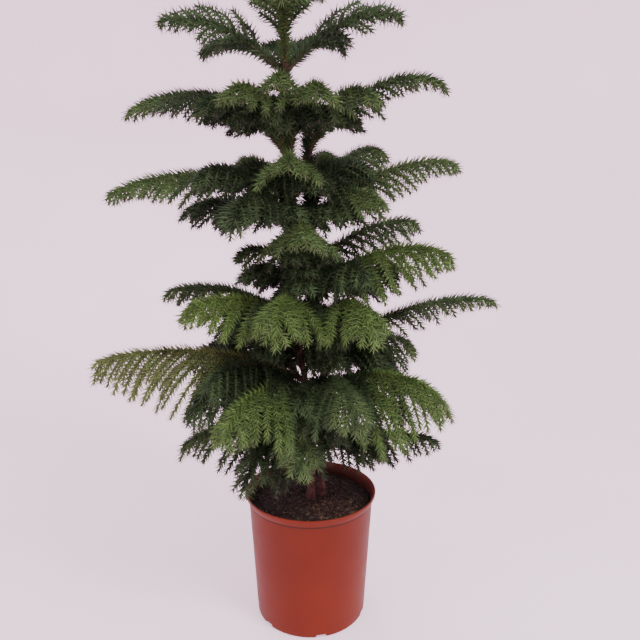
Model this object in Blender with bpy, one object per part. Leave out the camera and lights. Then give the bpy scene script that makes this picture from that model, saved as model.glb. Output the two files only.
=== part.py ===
"""Norfolk Island pine in a nursery pot.

Two stems from one root rise through whorls of flat, arching fronds. A frond is a slender
rachis with two rows of hanging needle ropes, and each rope is a toothed blade here.
Metres, +Z up, the origin at the centre of the pot's flat underside.
"""
import bpy
import random
from bisect import bisect_right
from math import cos, exp, pi, radians, sin
from mathutils import Matrix, Vector
from mathutils.bvhtree import BVHTree

# ---- driving dimensions ------------------------------------------------------------------
CLEARANCE = 0.0003          # gap between pieces that touch
UP = Vector((0.0, 0.0, 1.0))

POT_HEIGHT = 0.220
POT_FOOT_RADIUS = 0.0930
POT_BAND_FOOT_RADIUS = 0.1045   # wall radius just under the rim band
POT_RIM_RADIUS = 0.1100
POT_BAND_HEIGHT = 0.0130
POT_BAND_STEP = 0.0012          # how far the band's foot stands out from the wall
POT_WALL = 0.0025
POT_FLOOR = 0.0030
POT_EDGE_RADIUS = 0.0030        # rounding between wall and foot
LIP_ROUNDING = 0.0016
POT_SIDES = 40
FOOT_RECESS = 0.0050            # the raised ring of the floor, between foot ring and centre boss
FOOT_RING_INNER = 0.0820
FOOT_BOSS_RADIUS = 0.0340
DRAIN_HOLES = 6
DRAIN_HOLE_RADIUS = 0.0065
DRAIN_HOLE_CIRCLE = 0.0580
NOTCHES = 6
NOTCH_WIDTH = 0.0200            # at the foot; its sides lean in
NOTCH_TOP_WIDTH = 0.0140
NOTCH_HEIGHT = 0.0055
NOTCH_FIRST_AZIMUTH = -79.0     # degrees

SOIL_TOP = 0.2040
SOIL_CROWN = 0.0030             # how far the soil's middle stands above its edge

STEM_SIDES = 12
STEM_STATIONS = 16
FLARE_HEIGHT = 0.0130           # the root flare dies away over this height

BOUGH_SIDES = 8
BOUGH_SHARE = 0.24              # share of a frond's reach that is bare bough
RACHIS_SIDES = 3
RACHIS_TIP_RADIUS = 0.0011
RACHIS_END = 0.92               # share of the reach where the rachis runs out in a last rope
RACHIS_STATIONS = 6

ROPE_SPACING = 0.0370           # between blades on one side of a rachis
ROPE_HALF_WIDTH = 0.0130
ROPE_HALF_THICKNESS = 0.0032
ROPE_FORWARD = 54.0             # degrees between a rope and its rachis
ROPE_TEST_MARGIN = 0.0010       # a blade is this much larger when it is tested for touching
SHORTEST_ROPE = 0.016
TIP_ROPE = 0.008                # how far the last rope passes the frond's reach
LONG_ROPE = 0.090               # a rope longer than this has three teeth a side, not two
# A side's teeth and the notches between them, as shares of the length and of the half width.
SHORT_TEETH = [(0.36, 1.00), (0.32, 0.42), (0.70, 0.85)]
LONG_TEETH = [(0.28, 1.00), (0.24, 0.42), (0.52, 0.90), (0.48, 0.38), (0.76, 0.65)]
PEAK_SHARE = 0.16               # where the blade is thickest
ROOT_SINK = 0.0006              # how far the root passes the rachis's middle
SEED = 11

# Each stem: foot radius, radius above the flare, tip radius, and its line as (x, y, z).
STEMS = {
    "tall": dict(foot=0.0092, low=0.0064, tip=0.0014, line=[
        (0.000, 0.000, 0.204), (0.001, 0.000, 0.280), (-0.007, 0.001, 0.400), (-0.017, 0.001, 0.460),
        (-0.029, 0.000, 0.570), (-0.032, 0.000, 0.750), (-0.036, 0.000, 0.889), (-0.036, 0.001, 0.992)]),
    "short": dict(foot=0.0082, low=0.0054, tip=0.0013, line=[
        (0.019, 0.009, 0.204), (0.017, 0.010, 0.280), (0.019, 0.012, 0.380), (0.018, 0.013, 0.465),
        (0.002, 0.013, 0.560), (-0.003, 0.012, 0.703), (-0.004, 0.012, 0.800), (-0.004, 0.012, 0.842)]),
}

# Whorls from the top down. rope: longest rope; droop: degrees below level at the frond's base
# and tip. A frond: name, stem, height of its foot, azimuth (0 = +X, 90 = +Y), reach, rise to
# its crest, crest as a share of the reach, dip from crest to tip, its ropes as a share of the
# whorl's, the roll of its plane in degrees, and whether a bough bears it.
WHORLS = [
    dict(name="top", rope=0.036, droop=(-40, -15), fronds=[
        ("front", "tall", 0.958, 262, 0.060, 0.036, 0.95, 0.000, 1.0, 0, False),
        ("left", "tall", 0.964, 142, 0.056, 0.034, 0.95, 0.000, 1.0, 0, False),
        ("right", "tall", 0.961, 20, 0.058, 0.036, 0.95, 0.000, 1.0, 0, False)]),
    dict(name="first", rope=0.058, droop=(-22, 18), fronds=[
        ("left", "tall", 0.884, 182, 0.181, 0.076, 0.80, 0.001, 1.0, -35, False),
        ("back_left", "tall", 0.890, 140, 0.182, 0.050, 0.75, 0.008, 1.0, 0, False),
        ("right", "tall", 0.886, 2, 0.172, 0.084, 0.82, 0.008, 1.0, 30, False),
        ("back_right", "tall", 0.896, 46, 0.132, 0.048, 0.75, 0.010, 1.0, 0, False),
        ("front", "tall", 0.890, 272, 0.165, 0.072, 0.70, 0.010, 1.15, 0, False),
        ("back", "tall", 0.882, 95, 0.150, 0.060, 0.70, 0.012, 1.0, 0, False)]),
    dict(name="second", rope=0.088, droop=(14, 44), fronds=[
        ("left", "tall", 0.764, 180, 0.240, 0.094, 0.52, 0.028, 0.85, 0, True),
        ("front_left", "tall", 0.750, 236, 0.136, 0.108, 0.70, 0.018, 0.9, 0, False),
        ("mid", "tall", 0.776, 266, 0.120, 0.094, 0.75, 0.012, 0.8, 0, False),
        ("front", "tall", 0.760, 294, 0.135, 0.098, 0.70, 0.016, 0.9, 0, False),
        ("front_right", "short", 0.762, 316, 0.130, 0.096, 0.70, 0.018, 1.0, 0, False),
        ("right", "short", 0.776, 5, 0.216, 0.110, 0.76, 0.018, 0.72, 0, False),
        ("back", "tall", 0.772, 102, 0.195, 0.082, 0.65, 0.025, 1.0, 0, False)]),
    dict(name="third", rope=0.098, droop=(20, 50), fronds=[
        ("left", "tall", 0.664, 189, 0.270, 0.080, 0.32, 0.038, 0.90, 0, True),
        ("back_left", "tall", 0.704, 132, 0.132, 0.062, 0.80, 0.004, 0.9, 0, False),
        ("back_right", "short", 0.694, 44, 0.178, 0.090, 0.85, 0.012, 0.9, 0, False),
        ("right", "short", 0.664, 8, 0.243, 0.102, 0.85, 0.010, 0.70, 0, True),
        ("front_right", "short", 0.644, 328, 0.130, 0.070, 0.70, 0.018, 0.8, 0, False),
        ("front", "tall", 0.694, 272, 0.120, 0.070, 0.70, 0.012, 0.8, 0, False),
        ("front_left", "tall", 0.652, 246, 0.175, 0.060, 0.60, 0.048, 0.9, 0, False),
        ("low_left", "tall", 0.655, 158, 0.190, 0.046, 0.60, 0.022, 0.9, 0, False),
        ("back", "short", 0.698, 76, 0.170, 0.076, 0.60, 0.025, 0.9, 0, False)]),
    dict(name="fourth", rope=0.108, droop=(24, 52), fronds=[
        ("high_front", "tall", 0.604, 281, 0.145, 0.066, 0.65, 0.020, 0.70, 0, False),
        ("high_right", "short", 0.596, 22, 0.198, 0.071, 0.85, 0.012, 0.8, 0, False),
        ("front_right", "short", 0.542, 334, 0.224, 0.094, 0.75, 0.012, 1.00, 0, True),
        ("right", "short", 0.456, 0, 0.282, 0.090, 0.87, 0.008, 0.46, 0, True),
        ("left", "tall", 0.500, 166, 0.226, 0.061, 0.62, 0.012, 0.72, 0, False),
        ("front_left", "tall", 0.508, 213, 0.190, 0.052, 0.70, 0.020, 0.9, 0, False),
        ("front", "tall", 0.498, 262, 0.165, 0.066, 0.60, 0.050, 0.9, 0, False),
        ("front_mid", "short", 0.490, 298, 0.165, 0.066, 0.60, 0.050, 0.9, 0, False),
        ("back_left", "tall", 0.462, 128, 0.210, 0.050, 0.60, 0.035, 1.0, 0, False),
        ("back", "short", 0.520, 80, 0.225, 0.070, 0.60, 0.035, 1.0, 0, False)]),
    dict(name="fifth", rope=0.124, droop=(28, 58), fronds=[
        ("left", "tall", 0.410, 196, 0.326, 0.068, 0.70, 0.012, 1.15, 0, True),
        ("low_left", "tall", 0.398, 218, 0.215, 0.044, 0.55, 0.050, 1.0, 0, False),
        ("right", "short", 0.418, 16, 0.165, 0.056, 0.70, 0.030, 0.8, 0, False),
        ("front_right", "short", 0.386, 330, 0.212, 0.050, 0.60, 0.034, 1.30, 0, True),
        ("front_left", "tall", 0.386, 240, 0.232, 0.045, 0.60, 0.048, 1.0, 0, False),
        ("front", "short", 0.392, 284, 0.190, 0.046, 0.60, 0.048, 0.9, 0, False),
        ("back_left", "tall", 0.406, 138, 0.250, 0.050, 0.60, 0.040, 1.0, 0, False),
        ("back_right", "short", 0.404, 62, 0.240, 0.055, 0.60, 0.040, 1.0, 0, False)]),
    dict(name="sixth", rope=0.092, droop=(24, 50), fronds=[
        ("right", "short", 0.284, 350, 0.196, 0.040, 0.75, 0.014, 0.80, 0, False),
        ("front", "tall", 0.328, 266, 0.165, 0.034, 0.55, 0.040, 0.9, 0, False),
        ("front_left", "tall", 0.306, 230, 0.160, 0.022, 0.40, 0.054, 1.0, 0, False),
        ("left", "tall", 0.320, 190, 0.210, 0.024, 0.45, 0.034, 1.15, 0, False),
        ("back_left", "tall", 0.318, 120, 0.205, 0.030, 0.50, 0.045, 1.0, 0, False),
        ("back_right", "short", 0.276, 42, 0.150, 0.024, 0.50, 0.026, 0.9, 0, False)]),
]


# ---- scene and material helpers ----------------------------------------------------------
def clear_scene():
    for old in list(bpy.data.objects):
        bpy.data.objects.remove(old, do_unlink=True)


def plain_material(name, color, roughness, metallic=0.0):
    material = bpy.data.materials.new(name)
    material.use_nodes = True
    shader = material.node_tree.nodes["Principled BSDF"]
    shader.inputs["Base Color"].default_value = (*color, 1.0)
    shader.inputs["Roughness"].default_value = roughness
    shader.inputs["Metallic"].default_value = metallic
    material.diffuse_color = (*color, 1.0)
    return material


def add_object(name, vertices, faces, material=None):
    mesh = bpy.data.meshes.new(name)
    mesh.from_pydata([tuple(v) for v in vertices], [], faces)
    mesh.validate()
    thing = bpy.data.objects.new(name, mesh)
    bpy.context.collection.objects.link(thing)
    if material:
        mesh.materials.append(material)
    return thing


def apply_modifiers(thing):
    """Turn the evaluated object into its plain mesh."""
    graph = bpy.context.evaluated_depsgraph_get()
    done = bpy.data.meshes.new_from_object(thing.evaluated_get(graph), depsgraph=graph)
    done.name = thing.name
    thing.modifiers.clear()
    thing.data = done


def boolean_with(thing, others, operation):
    """One Boolean on a collection; the collection and its objects are removed afterwards."""
    tools = bpy.data.collections.new(thing.name + "_tools")
    bpy.context.scene.collection.children.link(tools)
    for other in others:
        bpy.context.collection.objects.unlink(other)
        tools.objects.link(other)
    modifier = thing.modifiers.new("join", "BOOLEAN")
    modifier.operation = operation
    modifier.solver = "EXACT"
    modifier.operand_type = "COLLECTION"
    modifier.collection = tools
    apply_modifiers(thing)
    for other in others:
        bpy.data.objects.remove(other, do_unlink=True)
    bpy.data.collections.remove(tools)


# ---- pot and soil ------------------------------------------------------------------------
def turned(name, profile, sides, material):
    """A closed profile of (radius, height) points, turned about Z; radius 0 is a pole."""
    vertices, rings = [], []
    for radius, height in profile:
        if radius == 0.0:
            rings.append([len(vertices)])
            vertices.append((0.0, 0.0, height))
            continue
        rings.append(list(range(len(vertices), len(vertices) + sides)))
        for i in range(sides):
            angle = 2 * pi * i / sides
            vertices.append((radius * cos(angle), radius * sin(angle), height))
    faces = []
    for lower, upper in zip(rings, rings[1:]):
        for i in range(sides):
            j = (i + 1) % sides
            if len(lower) == 1:
                faces.append((lower[0], upper[j], upper[i]))
            elif len(upper) == 1:
                faces.append((lower[i], lower[j], upper[0]))
            else:
                faces.append((lower[i], lower[j], upper[j], upper[i]))
    thing = add_object(name, vertices, faces, material)
    thing.data.shade_smooth()
    thing.data.set_sharp_from_angle(angle=radians(40))
    return thing


def wall_radius(height):
    """Outer radius of the pot's tapered wall."""
    share = height / (POT_HEIGHT - POT_BAND_HEIGHT)
    return POT_FOOT_RADIUS + share * (POT_BAND_FOOT_RADIUS - POT_FOOT_RADIUS)


def pot_profile():
    """From the pole of the underside, out and up the wall, over the rim and down inside."""
    band = POT_HEIGHT - POT_BAND_HEIGHT
    inner_floor = FOOT_RECESS + POT_FLOOR
    edge = POT_EDGE_RADIUS
    rounding = (wall_radius(0) - edge * (1 - sin(pi / 4)), edge * (1 - cos(pi / 4)))
    return [
        (0.0, 0.0), (FOOT_BOSS_RADIUS, 0.0), (FOOT_BOSS_RADIUS + 0.002, FOOT_RECESS),
        (FOOT_RING_INNER - 0.002, FOOT_RECESS), (FOOT_RING_INNER, 0.0), (wall_radius(0) - edge, 0.0),
        rounding, (wall_radius(edge), edge),
        (wall_radius(band), band), (wall_radius(band) + POT_BAND_STEP, band + 0.0006),
        (POT_RIM_RADIUS, POT_HEIGHT - LIP_ROUNDING), (POT_RIM_RADIUS - LIP_ROUNDING, POT_HEIGHT),
        (POT_RIM_RADIUS - POT_WALL - 0.0012, POT_HEIGHT - 0.0012),
        (wall_radius(band) - POT_WALL, band - 0.0040),
        (wall_radius(inner_floor) - POT_WALL, inner_floor), (0.0, inner_floor)]


def drain_cutters():
    """Round holes through the raised ring of the floor."""
    cutters = []
    for i in range(DRAIN_HOLES):
        angle = 2 * pi * (i + 0.5) / DRAIN_HOLES
        place = Vector((cos(angle), sin(angle), 0.0)) * DRAIN_HOLE_CIRCLE
        ring = [(DRAIN_HOLE_RADIUS, -0.002), (DRAIN_HOLE_RADIUS, 0.012)]
        cutter = turned("drain_cutter", [(0.0, -0.002), *ring, (0.0, 0.012)], 10, None)
        cutter.data.transform(Matrix.Translation(place))
        cutters.append(cutter)
    return cutters


def notch_cutters():
    """Wedges that open the foot ring outwards, wide at the foot and narrower above."""
    cutters = []
    inner, outer, below = FOOT_RING_INNER - 0.004, POT_FOOT_RADIUS + 0.01, -0.002
    slope = (NOTCH_WIDTH - NOTCH_TOP_WIDTH) / 2 / NOTCH_HEIGHT
    low = NOTCH_WIDTH / 2 - slope * below
    high = NOTCH_TOP_WIDTH / 2
    corners = [(-low, below), (low, below), (high, NOTCH_HEIGHT), (-high, NOTCH_HEIGHT)]
    for i in range(NOTCHES):
        turn = Matrix.Rotation(radians(NOTCH_FIRST_AZIMUTH) + 2 * pi * i / NOTCHES, 4, "Z")
        vertices = [turn @ Vector((r, y, z)) for r in (inner, outer) for y, z in corners]
        faces = [(0, 3, 2, 1), (4, 5, 6, 7), (0, 1, 5, 4), (1, 2, 6, 5), (2, 3, 7, 6), (3, 0, 4, 7)]
        cutters.append(add_object("notch_cutter", vertices, faces))
    return cutters


def make_pot():
    material = plain_material("pot_plastic", (0.36, 0.055, 0.025), 0.42)
    pot = turned("pot", pot_profile(), POT_SIDES, material)
    boolean_with(pot, drain_cutters() + notch_cutters(), "DIFFERENCE")
    pot.data.shade_smooth()
    pot.data.set_sharp_from_angle(angle=radians(35))


def make_soil():
    """The filled root ball: it ends flat under the stems and falls a little to the wall."""
    material = plain_material("potting_soil", (0.030, 0.020, 0.016), 0.95)
    floor = FOOT_RECESS + POT_FLOOR + CLEARANCE
    side = 1.0 / cos(pi / POT_SIDES)        # the pot's facets come in nearer than its radius
    clear = POT_WALL + CLEARANCE * side
    edge_top = SOIL_TOP - SOIL_CROWN
    flat = 0.045
    profile = [(0.0, floor), (wall_radius(floor) - clear, floor),
               (wall_radius(edge_top) - clear - 0.0004, edge_top),
               (0.075, SOIL_TOP - 0.3 * SOIL_CROWN), (flat, SOIL_TOP - CLEARANCE),
               (0.0, SOIL_TOP - CLEARANCE)]
    turned("soil", profile, POT_SIDES, material)


# ---- stems -------------------------------------------------------------------------------
def stem_axis(stem, height):
    """Point on the stem's axis: a smooth curve through its line's points."""
    line = [Vector(p) for p in STEMS[stem]["line"]]
    heights = [p.z for p in line]
    i = min(max(bisect_right(heights, height) - 1, 0), len(line) - 2)
    before, after = line[max(i - 1, 0)], line[min(i + 2, len(line) - 1)]
    a, b = line[i], line[i + 1]
    span = b.z - a.z
    t = (height - a.z) / span
    slope_a = (b - before) / (b.z - before.z) * span
    slope_b = (after - a) / (after.z - a.z) * span
    point = ((2 * t**3 - 3 * t**2 + 1) * a + (t**3 - 2 * t**2 + t) * slope_a
             + (3 * t**2 - 2 * t**3) * b + (t**3 - t**2) * slope_b)
    return Vector((point.x, point.y, height))


def stem_radius(stem, height):
    size = STEMS[stem]
    foot, top = size["line"][0][2], size["line"][-1][2]
    share = (height - foot) / (top - foot)
    flare = (size["foot"] - size["low"]) * exp(-(height - foot) / FLARE_HEIGHT)
    return size["low"] + share * (size["tip"] - size["low"]) + flare


def stem_heights(stem):
    """Where the stem's rings lie: close together in the root flare, then evenly spaced."""
    foot, top = STEMS[stem]["line"][0][2], STEMS[stem]["line"][-1][2]
    flare = [foot, foot + 0.006, foot + 0.014, foot + 0.028]
    rest = STEM_STATIONS - len(flare)
    return flare + [flare[-1] + (top - flare[-1]) * (i + 1) / rest for i in range(rest)]


def faceted_stem(stem, height):
    """Centre and radius of the stem's solid, which is straight from ring to ring."""
    heights = stem_heights(stem)
    i = min(max(bisect_right(heights, height) - 1, 0), len(heights) - 2)
    low, high = heights[i], heights[i + 1]
    part = (height - low) / (high - low)
    radius = stem_radius(stem, low) * (1 - part) + stem_radius(stem, high) * part
    return stem_axis(stem, low).lerp(stem_axis(stem, high), part), radius


def make_stem(stem, material):
    """Level rings from the flat foot to a blunt tip."""
    heights = stem_heights(stem)
    vertices, faces = [], []
    for height in heights:
        centre, radius = stem_axis(stem, height), stem_radius(stem, height)
        for k in range(STEM_SIDES):
            angle = 2 * pi * k / STEM_SIDES
            vertices.append(centre + radius * Vector((cos(angle), sin(angle), 0.0)))
    for i in range(len(heights) - 1):
        for k in range(STEM_SIDES):
            a, b = i * STEM_SIDES + k, i * STEM_SIDES + (k + 1) % STEM_SIDES
            faces.append((a, b, b + STEM_SIDES, a + STEM_SIDES))
    faces.append(tuple(reversed(range(STEM_SIDES))))
    faces.append(tuple(range(len(vertices) - STEM_SIDES, len(vertices))))
    thing = add_object("stem_" + stem, vertices, faces, material)
    thing.data.shade_smooth()
    thing.data.set_sharp_from_angle(angle=radians(60))
    return thing


# ---- fronds ------------------------------------------------------------------------------
class Frond:
    """One frond's line: up from the stem to a crest, then level or dipping to its tip."""

    def __init__(self, whorl, row):
        (side, self.stem, height, azimuth, self.reach, self.rise, self.crest, self.dip,
         rope_share, self.roll, self.has_bough) = row
        self.name = whorl["name"] + "_" + side
        self.rope, self.droop = whorl["rope"] * rope_share, whorl["droop"]
        self.out = Vector((cos(radians(azimuth)), sin(radians(azimuth)), 0.0))
        self.across = UP.cross(self.out)
        self.foot = faceted_stem(self.stem, height)[0]
        self.foot_radius = 0.0022 + 0.0055 * self.reach

    def lift(self, share):
        if share < self.crest:
            return self.rise * (1 - (1 - share / self.crest) ** 2)
        return self.rise - self.dip * ((share - self.crest) / (1 - self.crest)) ** 3

    def point(self, share):
        return self.foot + self.out * (self.reach * share) + UP * self.lift(share)

    def on_limb(self, share, stations):
        """Point on the straight stretch between two stations, where the faceted limb lies."""
        i = min(max(bisect_right(stations, share) - 1, 0), len(stations) - 2)
        part = (share - stations[i]) / (stations[i + 1] - stations[i])
        return self.point(stations[i]).lerp(self.point(stations[i + 1]), part)

    def tangent(self, share):
        step = 0.01
        return (self.point(share + step) - self.point(share - step)).normalized()

    def radius(self, share):
        return self.foot_radius + share * (RACHIS_TIP_RADIUS - self.foot_radius)

    def seat_share(self):
        """Where the limb starts, clear of the stem over the whole height of its end."""
        half = self.foot_radius * 1.2
        share = 0.0
        for _ in range(6):
            start = self.point(share).z
            bulges = []
            for i in range(9):
                height = start + half * (i / 4 - 1)
                centre, radius = faceted_stem(self.stem, height)
                bulges.append((centre - self.foot).dot(self.out) + radius)
            share = (max(bulges) + CLEARANCE) / self.reach
        return share


def limb(name, frond, shares, sides, upright_start, material):
    """A tapering tube along the frond's line; the end on a stem is an upright cut."""
    vertices, faces = [], []
    for i, share in enumerate(shares):
        tangent = frond.tangent(share)
        normal = tangent.cross(frond.across)
        if i == 0 and upright_start:
            normal = UP
        for k in range(sides):
            angle = 2 * pi * (k + 0.5) / sides + pi / 2
            offset = frond.across * cos(angle) + normal * sin(angle)
            vertices.append(frond.point(share) + offset * frond.radius(share))
    for i in range(len(shares) - 1):
        for k in range(sides):
            a, b = i * sides + k, i * sides + (k + 1) % sides
            faces.append((a, b, b + sides, a + sides))
    faces.append(tuple(reversed(range(sides))))
    faces.append(tuple(range(len(vertices) - sides, len(vertices))))
    return add_object(name, vertices, faces, material)


def blade(length, half_width, half_thickness):
    """A toothed blade along +X: its outline fans out from one peak above and one below."""
    teeth = LONG_TEETH if length > LONG_ROPE else SHORT_TEETH
    side = [(length * x, half_width * y) for x, y in teeth]
    outline = [(-ROOT_SINK, 0.0)] + side + [(length, 0.0)] + [(x, -y) for x, y in reversed(side)]
    count = len(outline)
    vertices = [(x, y, 0.0) for x, y in outline]
    vertices += [(length * PEAK_SHARE, 0.0, half_thickness), (length * PEAK_SHARE, 0.0, -half_thickness)]
    faces = []
    for i in range(count):
        j = (i + 1) % count
        faces.append((j, i, count))
        faces.append((i, j, count + 1))
    return vertices, faces


def placed_blade(root, along, roll, length, half_width, half_thickness):
    """The blade's vertices in place: level across its rope, then rolled about it."""
    vertices, faces = blade(length, half_width, half_thickness)
    across = UP.cross(along).normalized()
    normal = along.cross(across)
    turn = Matrix.Rotation(roll, 3, along)
    across, normal = turn @ across, turn @ normal
    return [root + along * x + across * y + normal * z for x, y, z in vertices], faces


def rope_length(frond, share):
    """Short by the stem, longest before the middle, then falling evenly towards the tip."""
    longest_at = 0.45
    if share < longest_at:
        return frond.rope * (0.85 + 0.15 * share / longest_at)
    return frond.rope * (1.0 - 0.78 * ((share - longest_at) / (1 - longest_at)) ** 0.8)


def tree_of(vertices, faces):
    return BVHTree.FromPolygons([tuple(v) for v in vertices], faces)


def touches(tree, others):
    return any(tree.overlap(other) for other in others)


def add_ropes(frond, rachis, stations, first_share, taken, material, rng):
    """Fuse blades to the rachis, each one only where it touches nothing that is there.

    Its own earlier blades count without their roots. All its blades are given back, whole.
    """
    sprays, own, whole = [], [], []
    count = max(2, round(frond.reach * (RACHIS_END - first_share) / ROPE_SPACING))
    places = [(RACHIS_END, 0)]
    for k in range(count):
        for side in (1, -1):
            step = (k + 0.35 + 0.25 * side) / (count + 0.35)
            places.append((first_share + (RACHIS_END - first_share) * step, side))
    for share, side in places:
        length = rope_length(frond, share)
        droop = frond.droop[0] + (frond.droop[1] - frond.droop[0]) * share - side * frond.roll
        forward = frond.tangent(share)
        if side:
            angle = radians(ROPE_FORWARD + rng.uniform(-5, 5))
            along = forward * cos(angle) + frond.across * (side * sin(angle))
            level = Vector((along.x, along.y, 0.0)).normalized()
            drop = radians(droop + rng.uniform(-5, 5))
            along = level * cos(drop) + UP * (forward.z * 0.35 - sin(drop))
        else:
            along = (frond.point(1.0) - frond.point(share)).normalized()
            length = (1.0 - share) * frond.reach + TIP_ROPE
        along.normalize()
        roll = radians(rng.uniform(14, 34)) * (side or 1)
        root = frond.on_limb(share, stations)
        for shrink in (1.0, 0.75, 0.52):
            size = length * shrink
            if size < SHORTEST_ROPE:
                break
            width = min(ROPE_HALF_WIDTH, 0.30 * size)
            test, faces = placed_blade(root, along, roll, size + ROPE_TEST_MARGIN,
                                       width + ROPE_TEST_MARGIN, ROPE_HALF_THICKNESS + ROPE_TEST_MARGIN)
            if touches(tree_of(test, faces), taken + own):
                continue
            vertices, faces = placed_blade(root, along, roll, size, width, ROPE_HALF_THICKNESS)
            sprays.append(add_object("spray", vertices, faces, material))
            beyond_root = [root + along * 0.006 + (v - root) * 0.94 for v in vertices]
            own.append(tree_of(beyond_root, faces))
            whole.append(tree_of(vertices, faces))
            break
    if sprays:
        boolean_with(rachis, sprays, "UNION")
    rachis.data.set_sharp_from_angle(angle=radians(30))
    return whole


def spaced(first, last, count):
    return [first + (last - first) * i / (count - 1) for i in range(count)]


def make_fronds(stems, bark, needles):
    """All limbs stand first, so that every rope can keep clear of all of them."""
    rng = random.Random(SEED)
    limbs, jobs = list(stems), []
    for whorl in WHORLS:
        for row in whorl["fronds"]:
            frond = Frond(whorl, row)
            start = frond.seat_share()
            if frond.has_bough:
                shares = spaced(start, BOUGH_SHARE, 4)
                limbs.append(limb("bough_" + frond.name, frond, shares, BOUGH_SIDES, True, bark))
                start = BOUGH_SHARE + CLEARANCE / frond.reach * 1.15
            shares = spaced(start, RACHIS_END + 0.01, RACHIS_STATIONS)
            rachis = limb("frond_" + frond.name, frond, shares, RACHIS_SIDES, not frond.has_bough, needles)
            jobs.append((frond, rachis, shares))
    solids = [tree_of([v.co for v in t.data.vertices], [tuple(p.vertices) for p in t.data.polygons])
              for t in limbs]
    rachises = [tree_of([v.co for v in r.data.vertices], [tuple(p.vertices) for p in r.data.polygons])
                for _, r, _ in jobs]
    sprays = []
    for i, (frond, rachis, stations) in enumerate(jobs):
        others = [r for j, r in enumerate(rachises) if j != i]
        first = max(stations[0], 0.16 if frond.reach > 0.1 else 0.3)
        sprays += add_ropes(frond, rachis, stations, first, solids + others + sprays, needles, rng)


def main():
    clear_scene()
    make_pot()
    make_soil()
    bark = plain_material("bark", (0.075, 0.035, 0.025), 0.85)
    needles = plain_material("needles", (0.050, 0.110, 0.030), 0.60)
    stems = [make_stem(stem, bark) for stem in STEMS]
    make_fronds(stems, bark, needles)


main()
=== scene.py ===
"""The looks of a potted Norfolk Island pine: moulded pot, soil, barked stems and needled fronds.

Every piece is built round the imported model, in metres, +Z up, and rides on its one body.
"""

import random
from bisect import bisect_right
from copy import copy
from math import cos, exp, floor, radians, sin, tau

import bpy
from mathutils import Matrix, Vector, noise


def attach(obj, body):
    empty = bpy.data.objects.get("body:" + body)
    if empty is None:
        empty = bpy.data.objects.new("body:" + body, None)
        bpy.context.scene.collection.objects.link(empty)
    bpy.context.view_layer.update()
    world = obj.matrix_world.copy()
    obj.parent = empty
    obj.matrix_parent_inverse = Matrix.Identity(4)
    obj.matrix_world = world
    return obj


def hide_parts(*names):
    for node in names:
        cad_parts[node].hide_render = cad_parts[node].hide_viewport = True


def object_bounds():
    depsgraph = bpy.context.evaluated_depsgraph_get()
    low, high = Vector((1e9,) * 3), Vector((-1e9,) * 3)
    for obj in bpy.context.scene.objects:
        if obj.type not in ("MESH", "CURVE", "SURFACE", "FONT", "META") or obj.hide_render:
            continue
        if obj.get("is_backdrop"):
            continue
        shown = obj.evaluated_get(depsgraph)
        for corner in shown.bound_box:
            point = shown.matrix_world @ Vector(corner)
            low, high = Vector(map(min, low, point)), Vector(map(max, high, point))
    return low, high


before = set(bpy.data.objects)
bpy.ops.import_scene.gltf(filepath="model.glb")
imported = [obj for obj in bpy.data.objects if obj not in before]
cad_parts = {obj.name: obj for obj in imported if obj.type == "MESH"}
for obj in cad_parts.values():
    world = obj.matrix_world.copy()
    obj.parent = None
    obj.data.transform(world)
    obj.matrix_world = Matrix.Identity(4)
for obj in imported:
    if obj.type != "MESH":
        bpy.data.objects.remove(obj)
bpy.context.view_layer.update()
UP = Vector((0.0, 0.0, 1.0))


# ---- the pot -----------------------------------------------------------------------------
# A grower's pot, injection-moulded in terracotta polypropylene: a thin tapered wall, a flared
# band at the rim, a raised floor with drain holes, and notches moulded through the foot ring.
POT_HEIGHT = 0.220
POT_FOOT_RADIUS = 0.0930
POT_BAND_FOOT_RADIUS = 0.1045
POT_RIM_RADIUS = 0.1100
POT_BAND_HEIGHT = 0.0130
POT_BAND_STEP = 0.0012          # how far the band's foot stands out over the wall
POT_WALL = 0.0025
POT_FLOOR = 0.0030
POT_EDGE_RADIUS = 0.0030
FOOT_RECESS = 0.0050
FOOT_RING_INNER = 0.0820
FOOT_BOSS_RADIUS = 0.0340
DRAIN_HOLES = 6
DRAIN_HOLE_RADIUS = 0.0065
DRAIN_HOLE_CIRCLE = 0.0580
NOTCHES = 6
NOTCH_WIDTH = 0.0200
NOTCH_TOP_WIDTH = 0.0140
NOTCH_HEIGHT = 0.0055
NOTCH_FIRST_AZIMUTH = -79.0     # degrees
POT_SIDES = 180
POT_LIP = 0.0012                # rounding of the rim
POT_CORNER = 0.0005             # rounding of the small edges
FOOT_DRAFT = 0.0020             # how far the recess's sides lean
BAND_LEAN = 0.0006              # how far the band leans out near the rim,
BAND_TOP = 0.0050               # over this height
FLARE_LOW = 0.0040              # the inside starts to flare this far below the band's foot,
FLARE_BEND = 0.0020             # and bends this far above it
# Painted shade on the pot: a dark line in the corner under the band, a dark inside wall, and a faint
# darkening of the outer wall towards the band.
SHADE_LINE_HEIGHT = 0.0024              # height of the painted shade line in the corner under the band
SHADE_LINE_FADE = 0.0014
PAINTED_SHADE_INSIDE = 0.80
PAINTED_SHADE_UNDER_BAND = 0.88
PAINTED_SHADE_OUTSIDE = 0.12            # painted shade on the outer wall, at its most just under the band
PAINTED_SHADE_FROM = 0.08               # it starts at this height,
PAINTED_SHADE_RISE = 0.11               # and is full this much higher
UNSHADED_UNDER_LIP = 0.0010        # the rounding of the rim stays free of painted shade, and this much under it
BAND_NEAR = 0.0002
CUT_SPARE = 0.0020              # how far a cutter stands proud of what it cuts


def add_piece(name, vertices, faces, material=None, edges=()):
    mesh = bpy.data.meshes.new(name)
    mesh.from_pydata([tuple(v) for v in vertices], list(edges), faces)
    thing = bpy.data.objects.new(name, mesh)
    bpy.context.scene.collection.objects.link(thing)
    if material:
        mesh.materials.append(material)
    return thing


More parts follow.
